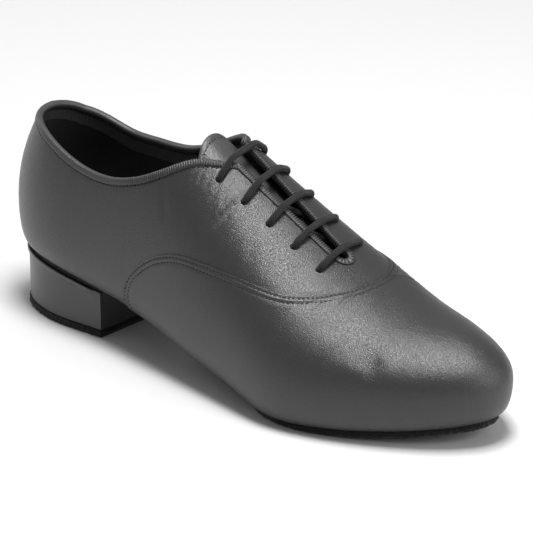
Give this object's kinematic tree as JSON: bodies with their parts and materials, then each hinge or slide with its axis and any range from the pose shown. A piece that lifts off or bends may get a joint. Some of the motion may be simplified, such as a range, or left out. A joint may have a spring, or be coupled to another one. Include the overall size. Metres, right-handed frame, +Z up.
{
  "type": "ballroom dance shoe",
  "caption": "Black lace-up ballroom dance shoe for the right foot, with a suede sole, a low covered heel and a bound collar.",
  "frame": {"origin": "on the floor at the middle of the part's bounding box, seen from above", "axes": "+X to the toe, +Y to the inner side of the foot, +Z up"},
  "size_m": [0.2876, 0.0982, 0.1108],
  "materials": {
    "upper_leather": "satin black nappa with a fine pebble grain",
    "heel_leather": "smooth satin black leather cover",
    "tongue_leather": "soft smooth black leather",
    "binding": "folded black leather strip, finely ribbed",
    "lining": "matt black suede lining",
    "sole_suede": "black suede split, nap up",
    "lace": "matt black round woven cord"
  },
  "bodies": {
    "root": {"outsole": "sole_suede", "heel": "heel_leather", "heel_tip": "sole_suede", "upper": "upper_leather", "insole": "lining", "tongue": "tongue_leather", "laces": "lace", "topline_binding": "binding"}
  },
  "joints": []
}
